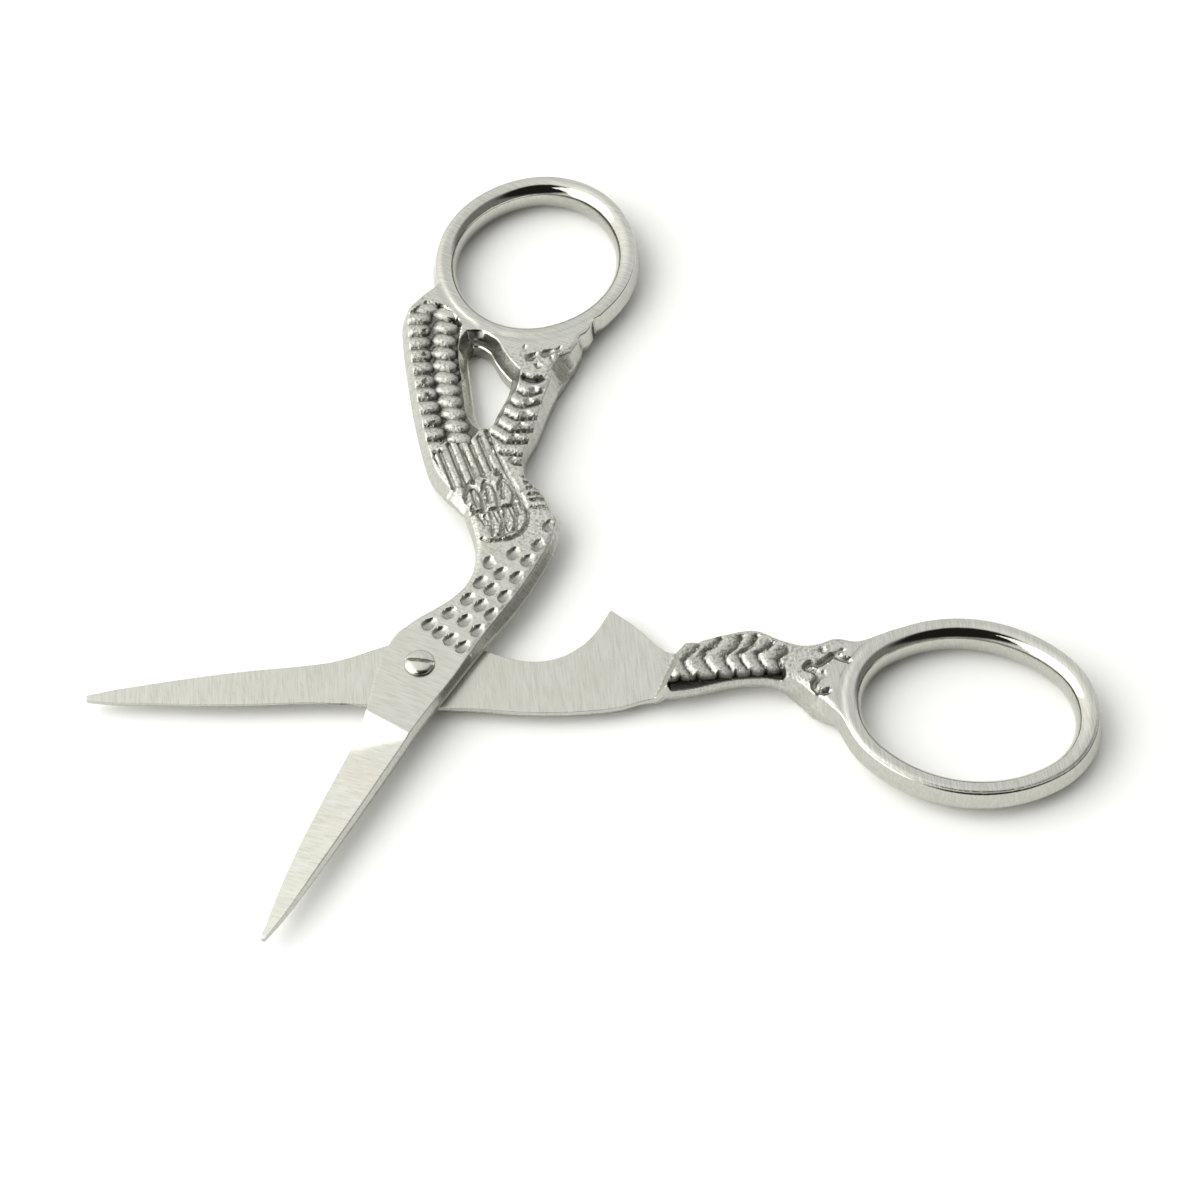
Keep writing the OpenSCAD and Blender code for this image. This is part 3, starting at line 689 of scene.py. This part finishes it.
def half_mesh(half):
    """The half's surface: its upper and lower heights over one sheet, and between their rims the rows of the
    wall, each moved out from the rim along the way to the plan's edge."""
    q, tris, edges, rim, after, before = sheet(half)
    kind, out, total = way_out(half, q[rim], after, before)
    top, bottom, recess = half.heights(q)
    levels = wall_levels(half, q[rim], kind, total, top[rim], bottom[rim])
    wall = [np.column_stack([q[rim] + out * o[:, None], z]) for o, z in levels]
    count = len(q)
    points = np.vstack([np.column_stack([q, top]), np.column_stack([q, bottom]), *wall])
    in_rim = np.searchsorted(rim, edges)
    rings = [edges, *(2 * count + k * len(rim) + in_rim for k in range(len(wall))), edges + count]
    quads = np.vstack([np.stack([a[:, 1], a[:, 0], b[:, 0], b[:, 1]], 1) for a, b in zip(rings[:-1], rings[1:])])
    faces = np.vstack([tris, tris[:, ::-1] + count, quads[:, [0, 1, 2]], quads[:, [0, 2, 3]]])
    polish, cast = finish_values(half, q, rim, kind == HOLE, len(wall))
    # The relief's depth goes on as the recess value, which the steel turns into painted shade in the hollows
    recess = np.concatenate([recess, np.zeros(len(points) - count)])
    return points, faces, {"recess": recess, "polish": polish, "cast": cast}


def add_mesh(name, points, faces, material, turn=0.0, values=None, sharp=40):
    """A mesh object from points in millimetres, turned about the pivot, with one number a vertex for each
    named value. It is smooth but for edges sharper than an angle."""
    points = np.asarray(points, float).copy()
    points[:, :2] = turned(points[:, :2], turn)
    mesh = bpy.data.meshes.new(name)
    mesh.from_pydata(points * 0.001, [], np.asarray(faces).tolist())
    mesh.validate()
    mesh.shade_smooth()
    for key, value in (values or {}).items():
        mesh.attributes.new(key, "FLOAT", "POINT").data.foreach_set("value", value.astype(np.float32))
    mesh.set_sharp_from_angle(angle=math.radians(sharp))
    piece = bpy.data.objects.new(name, mesh)
    bpy.context.scene.collection.objects.link(piece)
    mesh.materials.append(material)
    return piece


# Materials

def linear(hex_colour):
    """An sRGB hex colour as linear RGBA."""
    c = [int(hex_colour[i:i + 2], 16) / 255 for i in (0, 2, 4)]
    return [x / 12.92 if x <= 0.04045 else ((x + 0.055) / 1.055) ** 2.4 for x in c] + [1.0]


def add_node(tree, kind, inputs, **settings):
    """Adds a node with its settings, and gives each input, by its socket's name or number, a value or the
    output of another node."""
    node = tree.nodes.new(kind)
    for key, value in settings.items():
        setattr(node, key, value)
    for key, value in inputs.items():
        if isinstance(value, bpy.types.NodeSocket):
            tree.links.new(value, node.inputs[key])
        else:
            node.inputs[key].default_value = value
    return node


# The steel's patterns as a count to the millimetre. Belt lines and grain are drawn several times as coarse
# as the real ones, which are too fine to show in the render.
BELT_LINES, GRAINS, STAINS = 6.5, 3.8, 0.21
BELT_SLANT = 8  # degrees between the belt's lines and the half's own y axis
SATIN, MIRROR = (0.25, 0.36), 0.07  # roughness of belt-ground steel between its lines, and of polished steel
LINE_RELIEF, PORE_RELIEF, STAIN_RELIEF = 0.006, 0.1, 0.08  # bump heights in millimetres


def forged_steel(name, turn, brushing):
    """Nickel-bright forged steel. Belt-ground faces show fine lines across the half, the struck pattern keeps the
    grain of the die, its hollows take the die's dull grey and painted shade, darker the deeper they are cut, and the
    finger holes are polished."""
    material = bpy.data.materials.new(name)
    material.use_nodes = True
    tree = material.node_tree
    place_of = add_node(tree, "ShaderNodeTexCoord", {}).outputs["Object"]
    own = add_node(tree, "ShaderNodeMapping", {"Vector": place_of, "Rotation": (0, 0, math.radians(-turn))})
    along = add_node(tree, "ShaderNodeMapping", {"Vector": own.outputs[0], "Scale": (1.0, 0.07, 0.3),
                                                 "Rotation": (0, 0, math.radians(BELT_SLANT))})
    belt, grain, stain = [
        add_node(tree, "ShaderNodeTexNoise", {"Vector": source.outputs[0], "Scale": 1000 * count, "Detail": detail,
                                              "Roughness": 0.6}).outputs["Fac"]
        for source, count, detail in ((along, BELT_LINES, 4), (own, GRAINS, 3), (own, STAINS, 4))]
    recess, polish, cast = [add_node(tree, "ShaderNodeAttribute", {}, attribute_name=value).outputs["Fac"]
                            for value in ("recess", "polish", "cast")]

    # From the base tone up: belt lines, faint stains, the die's pores, hollows darkened by the die's dull grey and
    # painted shade, and painted shade in the deep ones
    pores = add_node(tree, "ShaderNodeMath", {0: cast, 1: 0.75}, operation="MULTIPLY").outputs[0]
    tone = linear("b7b6ad")
    # The two recess steps are painted shade: the deeper the hollow, the darker its colour
    for source, low, high, most, colour in ((belt, 0.36, 0.64, 1.0, "c5c4bd"), (stain, 0.5, 0.8, 0.35, "b4b0a3"),
                                            (grain, 0.48, 0.64, pores, "807e78"),
                                            (recess, 0.12, 0.5, 0.9, "5c5a55"), (recess, 0.62, 0.9, 0.9, "35332f")):
        share = add_node(tree, "ShaderNodeMapRange", {"Value": source, "From Min": low, "From Max": high,
                                                      "To Max": most}).outputs[0]
        tone = add_node(tree, "ShaderNodeMix", {"Factor": share, 6: tone, 7: linear(colour)},
                        data_type="RGBA").outputs[2]

    ground = add_node(tree, "ShaderNodeMapRange", {"Value": belt, "From Min": 0.3, "From Max": 0.7,
                                                   "To Min": SATIN[0], "To Max": SATIN[1]}).outputs[0]
    rough = add_node(tree, "ShaderNodeMix", {"Factor": polish, "A": ground, "B": MIRROR}, data_type="FLOAT")
    brushed = add_node(tree, "ShaderNodeMapRange", {"Value": polish, "To Min": brushing, "To Max": 0.05 * brushing})
    normal = None
    for height, strength, relief in ((belt, brushed.outputs[0], LINE_RELIEF), (grain, cast, PORE_RELIEF),
                                     (stain, 0.5, STAIN_RELIEF)):
        inputs = {"Height": height, "Strength": strength, "Distance": 0.001 * relief}
        if normal:
            inputs["Normal"] = normal
        normal = add_node(tree, "ShaderNodeBump", inputs).outputs["Normal"]

    shader = tree.nodes["Principled BSDF"]
    shader.inputs["Metallic"].default_value = 1.0
    tree.links.new(tone, shader.inputs["Base Color"])
    tree.links.new(rough.outputs[0], shader.inputs["Roughness"])
    tree.links.new(normal, shader.inputs["Normal"])
    return material


def matt_white_board():
    """Matt white board, which gives back soft light evenly and has almost no shine."""
    material = bpy.data.materials.new("matt_white_board")
    material.use_nodes = True
    shader = material.node_tree.nodes["Principled BSDF"]
    shader.inputs["Base Color"].default_value = linear("fcfcfa")
    shader.inputs["Roughness"].default_value = 0.85
    shader.inputs["Specular IOR Level"].default_value = 0.1
    return material


# Pieces

SLOT_TURN, SLOT_DEPTH, SLOT_HALF, SLOT_EDGE = -13, 0.36, 0.15, 0.2
HEAD_RIM, HEAD_BEVEL = 0.1, 0.12  # height of the head's straight rim, and the bevel under it


def screw_mesh():
    """The screw: a profile turned about the pivot, flat end, thread, shank, and a head that is
    H (1 - (r/R)^3)^0.55 high. The slot is cut by lowering the points within its width to its floor."""
    seat, head_r = THICK + HALF_GAP, HEAD_D / 2
    top = seat + HEAD_H
    share = np.sin(np.linspace(math.pi / 2, 0, 70))[1:]
    radii = np.concatenate([[0, THREAD_D / 2, THREAD_D / 2, SHANK_D / 2, SHANK_D / 2, head_r - HEAD_BEVEL, head_r],
                            head_r * share])
    rise = np.concatenate([[0, 0, MID, MID, seat, seat, seat + HEAD_RIM],
                           seat + HEAD_RIM + (HEAD_H - HEAD_RIM) * np.maximum(1 - share**3, 0) ** 0.55])
    around = np.radians(np.arange(0, 360, 1.5))
    r, a = np.meshgrid(radii[1:-1], around, indexing="ij")
    z = np.repeat(rise[1:-1], len(around)).reshape(r.shape)
    x, y = r * np.cos(a), r * np.sin(a)
    across = y * math.cos(math.radians(SLOT_TURN)) - x * math.sin(math.radians(SLOT_TURN))
    floor = top - SLOT_DEPTH
    z = np.where(z > floor, z + (floor - z) * step(-np.abs(across), -SLOT_EDGE, -SLOT_HALF), z)
    points = np.vstack([np.stack([x, y, z], -1).reshape(-1, 3), [[0, 0, 0], [0, 0, floor]]])
    rows, cols = r.shape
    i, j = np.meshgrid(np.arange(rows - 1), np.arange(cols), indexing="ij")
    a0, a1 = i * cols + j, i * cols + (j + 1) % cols
    quads = np.stack([a0, a1, a1 + cols, a0 + cols], -1).reshape(-1, 4)
    ring = np.arange(cols)
    after = (ring + 1) % cols
    end, pole, last = rows * cols, rows * cols + 1, (rows - 1) * cols
    faces = np.vstack([quads[:, [0, 1, 2]], quads[:, [0, 2, 3]],
                       np.stack([after, ring, np.full(cols, end)], 1),
                       np.stack([last + ring, last + after, np.full(cols, pole)], 1)])
    return points, faces


# How deep the belt's lines are on each half and on the screw
STORK_BRUSHING, BREAST_BRUSHING, SCREW_BRUSHING = 0.2, 0.8, 0.2
SCREW_LINES, SCREW_POLISH = 20, 0.4  # the way of the screw's lines in degrees, and how polished it is

stork = Half("stork", STORK_OUTLINE, STORK_BOW, WINDOW_OUTLINE, SHANK_D + 2 * TURN_FIT)
breast = Half("breast", BREAST_OUTLINE, BREAST_BOW, None, THREAD_D + 2 * THREAD_FIT)
for half, node, body, slot, turn, brushing in (
        (stork, "stork_half", "stork_side", "stork_steel", OPEN, STORK_BRUSHING),
        (breast, "breast_half", "breast_side", "breast_steel", 0.0, BREAST_BRUSHING)):
    points, faces, values = half_mesh(half)
    steel = forged_steel("forged_satin_steel_" + half.name, turn, brushing)
    piece = add_mesh(node + "_forging", points, faces, steel, turn, values)
    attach(piece, body)
    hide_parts(node)

points, faces = screw_mesh()
plain = np.zeros(len(points))
screw = add_mesh("pivot_screw_slotted", points, faces,
                 forged_steel("turned_steel_screw", SCREW_LINES, SCREW_BRUSHING), 0.0,
                 {"recess": plain, "polish": plain + SCREW_POLISH, "cast": plain})
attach(screw, "breast_side")
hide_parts("pivot_screw")


# Stage

TABLE, TABLE_Z = 900, -0.02  # half the table's width, and its top just under the pair

corners = [(-TABLE, -TABLE, TABLE_Z), (TABLE, -TABLE, TABLE_Z), (TABLE, TABLE, TABLE_Z), (-TABLE, TABLE, TABLE_Z)]
table_top = add_mesh("table", corners, [[0, 1, 2, 3]], matt_white_board())


SOFTBOX_AT, SOFTBOX_TO, SOFTBOX_SIZE, SOFTBOX_WATTS = (-400, -70, 320), (15, 15, 0), (760, 640), 2.9


def softbox():
    """A white rectangular soft light on the left, in millimetres, facing the pair."""
    lamp = bpy.data.lights.new("softbox_left", "AREA")
    lamp.shape, lamp.size, lamp.size_y = "RECTANGLE", SOFTBOX_SIZE[0] * 0.001, SOFTBOX_SIZE[1] * 0.001
    lamp.energy = SOFTBOX_WATTS
    lamp.color = (1.0, 1.0, 1.0)
    box = bpy.data.objects.new("softbox_left", lamp)
    bpy.context.scene.collection.objects.link(box)
    box.location = Vector(SOFTBOX_AT) * 0.001
    box.rotation_mode = "QUATERNION"
    box.rotation_quaternion = (Vector(SOFTBOX_TO) - Vector(SOFTBOX_AT)).to_track_quat("-Z", "Y")


# The light tent: each part's name, the way to its middle, the cosines between which it comes in, its tone
TENT_TONE, TENT_STRENGTH = "cbcdcd", 1.7
TENT_PARTS = (("bright_side", (-0.7, 0.2, 0.6), 0.45, 0.95, "f6f6f2"),
              ("shade", (0.795, -0.6, 0.0), 0.2, 0.6, "6e6e6c"),
              ("opening", (0.02, -0.74, 0.67), 0.7, 0.85, "1c1b19"))


def light_tent():
    """A white light tent with a dim opening in front and a shaded right-hand side: the world's radiance
    changes by smooth steps of the cosine to the middle of each part."""
    world = bpy.data.worlds.new("light_tent")
    bpy.context.scene.world = world
    world.use_nodes = True
    tree = world.node_tree
    way = add_node(tree, "ShaderNodeTexCoord", {}).outputs["Generated"]
    tone = linear(TENT_TONE)
    for name, middle, low, high, colour in TENT_PARTS:
        cosine = add_node(tree, "ShaderNodeVectorMath", {0: way, 1: Vector(middle).normalized()},
                          operation="DOT_PRODUCT").outputs["Value"]
        share = add_node(tree, "ShaderNodeMapRange", {"Value": cosine, "From Min": low, "From Max": high},
                         interpolation_type="SMOOTHSTEP").outputs[0]
        tone = add_node(tree, "ShaderNodeMix", {"Factor": share, 6: tone, 7: linear(colour)},
                        data_type="RGBA", name=name).outputs[2]
    background = tree.nodes["Background"]
    tree.links.new(tone, background.inputs["Color"])
    background.inputs["Strength"].default_value = TENT_STRENGTH


softbox()
light_tent()

# The photograph's camera, solved from both finger holes, the blades and the table
SENSOR, FOCAL_PX, FRAME_PX = 36.0, 2926, 1200  # sensor in millimetres, focal length and frame in pixels
CAMERA_HEIGHT, CAMERA_TURN = 54.6, -5.6  # degrees above the table, and round the pivot
CAMERA_AT = (16.4, -149.4, 223.7)

camera = bpy.data.cameras.new("camera")
camera.sensor_width, camera.lens = SENSOR, SENSOR * FOCAL_PX / FRAME_PX
camera.clip_start, camera.clip_end = 0.01, 10
viewer = bpy.data.objects.new("camera", camera)
bpy.context.scene.collection.objects.link(viewer)
viewer.matrix_world = (Matrix.Rotation(math.radians(CAMERA_TURN), 4, "Z")
                       @ Matrix.Translation(Vector(CAMERA_AT) * 0.001)
                       @ Matrix.Rotation(math.radians(90 - CAMERA_HEIGHT), 4, "X"))
bpy.context.scene.camera = viewer
bpy.context.scene.view_settings.view_transform = "Standard"
